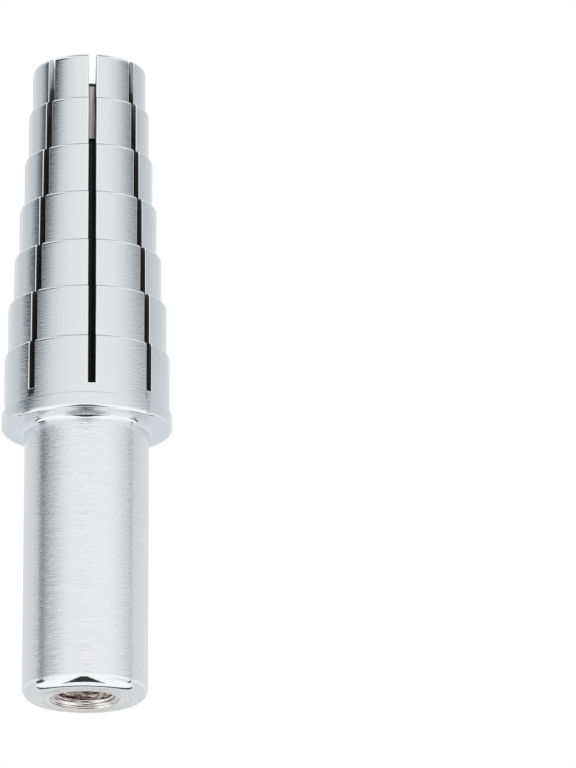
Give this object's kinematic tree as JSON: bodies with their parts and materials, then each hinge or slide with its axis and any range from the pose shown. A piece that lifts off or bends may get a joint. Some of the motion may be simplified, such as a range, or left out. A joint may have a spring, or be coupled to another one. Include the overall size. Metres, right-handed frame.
{
  "type": "expanding ring mandrel",
  "caption": "Expanding ring mandrel: slotted steel body with stepped ring seats, a flange and a plain shank, spread from inside by a draw bolt with a cone head.",
  "frame": {"origin": "centre of the shank's end face, which the mandrel stands on", "axes": "+Z along the axis towards the narrow end, where the bolt goes in; +X through the middle of a slot"},
  "size_m": [0.0244, 0.0244, 0.0944],
  "materials": {
    "plated_steel": "satin, fine turning lines",
    "black_oxide_steel": "black oxide, with the cone turned to bare steel"
  },
  "bodies": {
    "body": {"mandrel_body": "plated_steel"},
    "bolt": {"draw_bolt": "black_oxide_steel"}
  },
  "joints": [
    {"name": "bolt_draw", "type": "slide", "parent": "body", "child": "bolt", "axis": [0, 0, 1], "range_m": [0, 0.093]}
  ]
}
